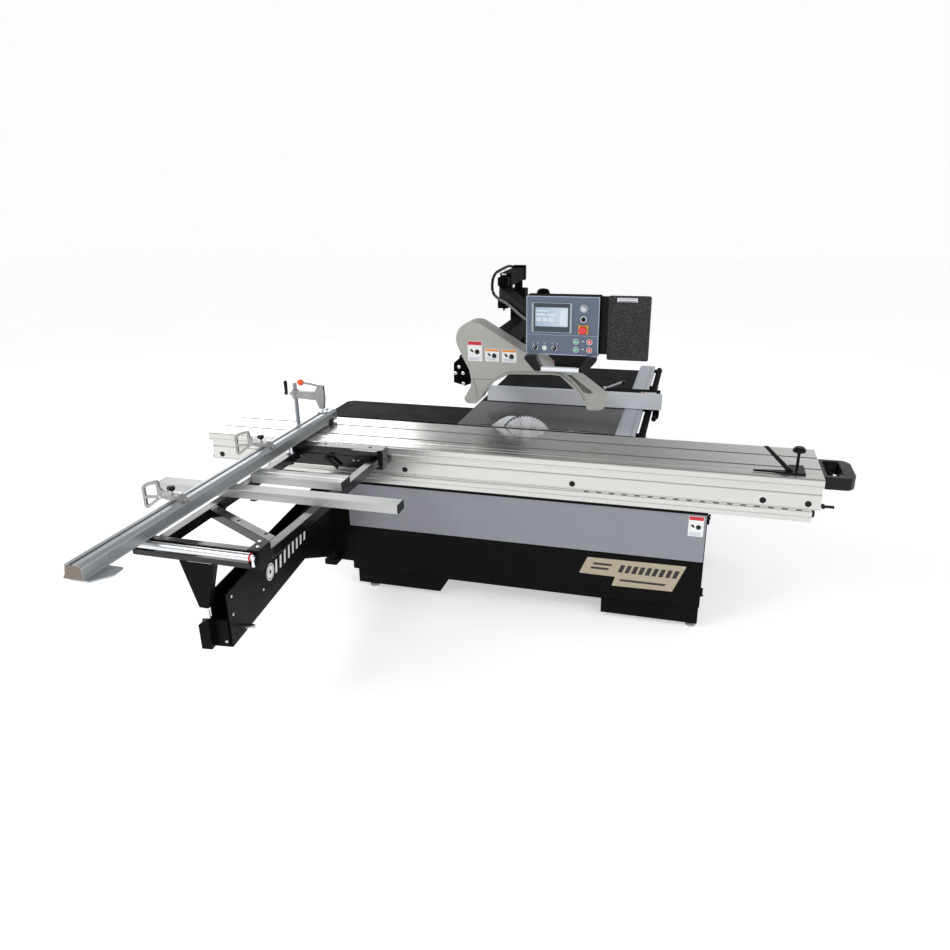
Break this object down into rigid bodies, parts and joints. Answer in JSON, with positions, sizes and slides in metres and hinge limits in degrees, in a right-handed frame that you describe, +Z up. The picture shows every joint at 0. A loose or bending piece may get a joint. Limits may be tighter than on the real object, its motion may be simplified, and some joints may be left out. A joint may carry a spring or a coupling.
{
  "type": "sliding table panel saw",
  "caption": "Sliding-table panel saw with a long carriage, crosscut outrigger on a swing arm, rip table, overhead blade guard and a boom-mounted control panel.",
  "frame": {"origin": "middle of the footprint at floor level", "axes": "+X along the sliding carriage towards the operator's push handle, +Y from the operator's side to the back, +Z up"},
  "size_m": [3.345, 3.862, 1.657],
  "materials": {
    "cabinet_front": "satin grey paint",
    "cabinet_shell": "black powder coat",
    "service_door": "black powder coat",
    "plinth_left": "black powder coat",
    "plinth_right": "black powder coat",
    "fixed_beam": "brushed extrusion",
    "main_table": "ground top",
    "outfeed_table": "black powder coat",
    "rip_extension_table": "black powder coat",
    "rip_rail": "brushed rail with a black guide bar",
    "support_column": "black powder coat",
    "guard_beam": "black powder coat",
    "swing_pivot_housing": "black powder coat",
    "saw_trunnion": "machined casting",
    "saw_carrier_motor": "painted motor and carrier",
    "motor_pulley": "turned",
    "drive_belt": "moulded",
    "saw_arbor": "turned",
    "main_blade": "ground disc",
    "riving_knife": "ground",
    "scoring_blade": "ground disc",
    "guard_hood": "grey paint",
    "boom_arm_1": "black powder coat",
    "boom_arm_2": "black powder coat",
    "boom_cable_rear": "cable jacket",
    "boom_cable_front": "cable jacket",
    "control_box": "black box with a slate face",
    "clipboard": "black hammered board",
    "green_button_upper": "green",
    "green_button_lower": "green",
    "red_button_upper": "red",
    "red_button_lower": "red",
    "estop_button": "red mushroom",
    "key_switch": "key barrel",
    "speed_knob": "turned knob",
    "selector_left": "black",
    "selector_right": "black",
    "carriage": "anodised extrusion",
    "push_handle": "black",
    "carriage_latch": "black",
    "edging_shoe": "black",
    "outrigger_frame": "black powder coat",
    "outrigger_roller": "anodised tube",
    "lock_lever": "black",
    "crosscut_fence": "anodised extrusion",
    "fence_extension": "anodised extrusion",
    "flip_stop_slider_1": "slider with a black knob",
    "flip_stop_slider_2": "slider with a black knob",
    "flip_stop_arm_1": "cast loop",
    "flip_stop_arm_2": "cast loop",
    "clamp_post": "polished post",
    "clamp_arm": "cast arm",
    "clamp_plunger": "polished",
    "clamp_lever": "lever with an orange ball",
    "clamp_crank": "black",
    "swing_arm_outer": "black powder coat",
    "swing_arm_inner": "black powder coat",
    "rip_fence_head": "black casting",
    "rip_fence": "anodised extrusion",
    "rip_fence_lever": "lever"
  },
  "bodies": {
    "base": {"cabinet_front": "cabinet_front", "cabinet_shell": "cabinet_shell", "plinth_left": "plinth_left", "plinth_right": "plinth_right", "fixed_beam": "fixed_beam", "main_table": "main_table", "outfeed_table": "outfeed_table", "rip_extension_table": "rip_extension_table", "rip_rail": "rip_rail", "support_column": "support_column", "guard_beam": "guard_beam", "swing_pivot_housing": "swing_pivot_housing"},
    "door": {"service_door": "service_door"},
    "trunnion": {"saw_trunnion": "saw_trunnion"},
    "saw_unit": {"saw_carrier_motor": "saw_carrier_motor", "drive_belt": "drive_belt", "riving_knife": "riving_knife"},
    "motor_shaft": {"motor_pulley": "motor_pulley"},
    "main_spindle": {"saw_arbor": "saw_arbor", "main_blade": "main_blade"},
    "scoring_spindle": {"scoring_blade": "scoring_blade"},
    "guard": {"guard_hood": "guard_hood"},
    "boom_rear": {"boom_arm_1": "boom_arm_1", "boom_cable_rear": "boom_cable_rear"},
    "boom_front": {"boom_arm_2": "boom_arm_2", "boom_cable_front": "boom_cable_front"},
    "panel": {"control_box": "control_box", "clipboard": "clipboard"},
    "carriage_body": {"carriage": "carriage", "push_handle": "push_handle"},
    "latch": {"carriage_latch": "carriage_latch"},
    "shoe": {"edging_shoe": "edging_shoe"},
    "outrigger": {"outrigger_frame": "outrigger_frame"},
    "roller": {"outrigger_roller": "outrigger_roller"},
    "lock": {"lock_lever": "lock_lever"},
    "fence": {"crosscut_fence": "crosscut_fence"},
    "fence_end": {"fence_extension": "fence_extension"},
    "stop_1": {"flip_stop_slider_1": "flip_stop_slider_1"},
    "stop_2": {"flip_stop_slider_2": "flip_stop_slider_2"},
    "stop_arm_1": {"flip_stop_arm_1": "flip_stop_arm_1"},
    "stop_arm_2": {"flip_stop_arm_2": "flip_stop_arm_2"},
    "clamp_stand": {"clamp_post": "clamp_post"},
    "clamp_head": {"clamp_arm": "clamp_arm"},
    "clamp_foot": {"clamp_plunger": "clamp_plunger"},
    "clamp_handle": {"clamp_lever": "clamp_lever"},
    "clamp_winder": {"clamp_crank": "clamp_crank"},
    "swing_outer": {"swing_arm_outer": "swing_arm_outer"},
    "swing_inner": {"swing_arm_inner": "swing_arm_inner"},
    "rip_head": {"rip_fence_head": "rip_fence_head"},
    "rip_bar": {"rip_fence": "rip_fence"},
    "rip_lever": {"rip_fence_lever": "rip_fence_lever"},
    "green_button_upper_body": {"green_button_upper": "green_button_upper"},
    "green_button_lower_body": {"green_button_lower": "green_button_lower"},
    "red_button_upper_body": {"red_button_upper": "red_button_upper"},
    "red_button_lower_body": {"red_button_lower": "red_button_lower"},
    "estop_button_body": {"estop_button": "estop_button"},
    "key_switch_body": {"key_switch": "key_switch"},
    "speed_knob_body": {"speed_knob": "speed_knob"},
    "selector_left_body": {"selector_left": "selector_left"},
    "selector_right_body": {"selector_right": "selector_right"}
  },
  "joints": [
    {"name": "door_hinge", "type": "hinge", "parent": "base", "child": "door", "pos_m": [1.041, -0.202, 0.385], "axis": [0, 0, -1], "range_deg": [0, 110]},
    {"name": "saw_tilt", "type": "hinge", "parent": "base", "child": "trunnion", "pos_m": [0.0395, 0.216, 0.885], "axis": [-1, 0, 0], "range_deg": [0, 45]},
    {"name": "saw_rise", "type": "slide", "parent": "trunnion", "child": "saw_unit", "axis": [0, 0, 1], "range_m": [-0.085, 0.015]},
    {"name": "main_spindle_spin", "type": "hinge", "parent": "saw_unit", "child": "main_spindle", "pos_m": [0.0395, 0.216, 0.805], "axis": [0, 1, 0], "continuous": true},
    {"name": "motor_spin", "type": "hinge", "parent": "saw_unit", "child": "motor_shaft", "pos_m": [0.0395, 0.216, 0.465], "axis": [0, 1, 0], "continuous": true},
    {"name": "scoring_spin", "type": "hinge", "parent": "trunnion", "child": "scoring_spindle", "pos_m": [0.2875, 0.216, 0.827], "axis": [0, 1, 0], "continuous": true},
    {"name": "guard_height", "type": "slide", "parent": "base", "child": "guard", "axis": [0, 0, 1], "range_m": [-0.1, 0.05]},
    {"name": "boom_base_swivel", "type": "hinge", "parent": "base", "child": "boom_rear", "pos_m": [-0.3875, 1.876, 1.485], "axis": [0, 0, 1], "range_deg": [0, 35]},
    {"name": "boom_elbow_swivel", "type": "hinge", "parent": "boom_rear", "child": "boom_front", "pos_m": [-0.3875, 1.426, 1.485], "axis": [0, 0, 1], "range_deg": [0, 45]},
    {"name": "panel_swivel", "type": "hinge", "parent": "boom_front", "child": "panel", "pos_m": [0.1325, 0.156, 1.485], "axis": [0, 0, 1], "range_deg": [-60, 10]},
    {"name": "green_button_upper_press", "type": "slide", "parent": "panel", "child": "green_button_upper_body", "axis": [0, 1, 0], "range_m": [0, 0.004], "stiffness_N_per_m": 900, "springref_m": -0.002},
    {"name": "green_button_lower_press", "type": "slide", "parent": "panel", "child": "green_button_lower_body", "axis": [0, 1, 0], "range_m": [0, 0.004], "stiffness_N_per_m": 900, "springref_m": -0.002},
    {"name": "red_button_upper_press", "type": "slide", "parent": "panel", "child": "red_button_upper_body", "axis": [0, 1, 0], "range_m": [0, 0.004], "stiffness_N_per_m": 900, "springref_m": -0.002},
    {"name": "red_button_lower_press", "type": "slide", "parent": "panel", "child": "red_button_lower_body", "axis": [0, 1, 0], "range_m": [0, 0.004], "stiffness_N_per_m": 900, "springref_m": -0.002},
    {"name": "estop_press", "type": "slide", "parent": "panel", "child": "estop_button_body", "axis": [0, 1, 0], "range_m": [0, 0.006], "stiffness_N_per_m": 1500, "springref_m": -0.002},
    {"name": "key_turn", "type": "hinge", "parent": "panel", "child": "key_switch_body", "pos_m": [0.3635, 0.026, 1.527], "axis": [0, 1, 0], "range_deg": [0, 90]},
    {"name": "speed_turn", "type": "hinge", "parent": "panel", "child": "speed_knob_body", "pos_m": [0.3635, 0.026, 1.579], "axis": [0, 1, 0], "range_deg": [-150, 150]},
    {"name": "selector_left_turn", "type": "hinge", "parent": "panel", "child": "selector_left_body", "pos_m": [0.1215, 0.026, 1.38], "axis": [0, 1, 0], "range_deg": [-45, 45]},
    {"name": "selector_right_turn", "type": "hinge", "parent": "panel", "child": "selector_right_body", "pos_m": [0.2205, 0.026, 1.378], "axis": [0, 1, 0], "range_deg": [-45, 45]},
    {"name": "carriage_travel", "type": "slide", "parent": "base", "child": "carriage_body", "axis": [1, 0, 0], "range_m": [-1.4, 1.3]},
    {"name": "latch_turn", "type": "hinge", "parent": "carriage_body", "child": "latch", "pos_m": [1.5395, -0.234, 0.743], "axis": [0, -1, 0], "range_deg": [0, 90]},
    {"name": "shoe_travel", "type": "slide", "parent": "carriage_body", "child": "shoe", "axis": [1, 0, 0], "range_m": [-1, 0.07]},
    {"name": "outrigger_travel", "type": "slide", "parent": "carriage_body", "child": "outrigger", "axis": [1, 0, 0], "range_m": [0, 0.35]},
    {"name": "roller_spin", "type": "hinge", "parent": "outrigger", "child": "roller", "pos_m": [-0.89, -1.571, 0.865], "axis": [1, 0, 0], "continuous": true},
    {"name": "lock_turn", "type": "hinge", "parent": "outrigger", "child": "lock", "pos_m": [-0.9155, -0.344, 0.823], "axis": [0, -1, 0], "range_deg": [0, 60]},
    {"name": "fence_mitre", "type": "hinge", "parent": "outrigger", "child": "fence", "pos_m": [-1.1125, -0.374, 0.885], "axis": [0, 0, 1], "range_deg": [-45, 0]},
    {"name": "fence_extend", "type": "slide", "parent": "fence", "child": "fence_end", "axis": [0, -1, 0], "range_m": [0, 0.55]},
    {"name": "stop_1_travel", "type": "slide", "parent": "fence", "child": "stop_1", "axis": [0, 1, 0], "range_m": [-0.25, 0.3]},
    {"name": "stop_2_travel", "type": "slide", "parent": "fence", "child": "stop_2", "axis": [0, 1, 0], "range_m": [-0.33, 0.35]},
    {"name": "stop_1_flip", "type": "hinge", "parent": "stop_1", "child": "stop_arm_1", "pos_m": [-1.1825, -0.607, 0.968], "axis": [0, 1, 0], "range_deg": [0, 100]},
    {"name": "stop_2_flip", "type": "hinge", "parent": "stop_2", "child": "stop_arm_2", "pos_m": [-1.1825, -1.323, 0.968], "axis": [0, 1, 0], "range_deg": [0, 100]},
    {"name": "clamp_swivel", "type": "hinge", "parent": "carriage_body", "child": "clamp_stand", "pos_m": [-1.1875, -0.128, 0.885], "axis": [0, 0, 1], "range_deg": [-50, 50]},
    {"name": "clamp_height", "type": "slide", "parent": "clamp_stand", "child": "clamp_head", "axis": [0, 0, 1], "range_m": [-0.02, 0.03]},
    {"name": "clamp_lever_turn", "type": "hinge", "parent": "clamp_head", "child": "clamp_handle", "pos_m": [-1.0325, -0.128, 1.142], "axis": [0, 1, 0], "range_deg": [0, 60]},
    {"name": "clamp_press", "type": "slide", "parent": "clamp_head", "child": "clamp_foot", "axis": [0, 0, 1], "range_m": [0, 0.015]},
    {"name": "clamp_winder_turn", "type": "hinge", "parent": "clamp_head", "child": "clamp_winder", "pos_m": [-1.2275, -0.128, 1.099], "axis": [1, 0, 0], "range_deg": [-90, 90]},
    {"name": "swing_arm_turn", "type": "hinge", "parent": "base", "child": "swing_outer", "pos_m": [-0.9725, -0.274, 0.485], "axis": [0, 0, 1], "range_deg": [-46, 42]},
    {"name": "swing_arm_extend", "type": "slide", "parent": "swing_outer", "child": "swing_inner", "axis": [0.112, -0.9937, 0], "range_m": [0, 0.6]},
    {"name": "rip_fence_travel", "type": "slide", "parent": "base", "child": "rip_head", "axis": [0, 1, 0], "range_m": [-0.4, 0.85]},
    {"name": "rip_bar_travel", "type": "slide", "parent": "rip_head", "child": "rip_bar", "axis": [1, 0, 0], "range_m": [-0.15, 0.2]},
    {"name": "rip_lever_turn", "type": "hinge", "parent": "rip_head", "child": "rip_lever", "pos_m": [0.3975, 0.809, 0.985], "axis": [0, 0, 1], "range_deg": [0, 90]}
  ],
  "couplings": [
    {"joint": "motor_spin", "follows": "main_spindle_spin", "ratio": 0.66667},
    {"joint": "swing_arm_turn", "follows": "carriage_travel", "rad_per_m": 0.55},
    {"joint": "clamp_press", "follows": "clamp_lever_turn", "m_per_rad": 0.014}
  ]
}
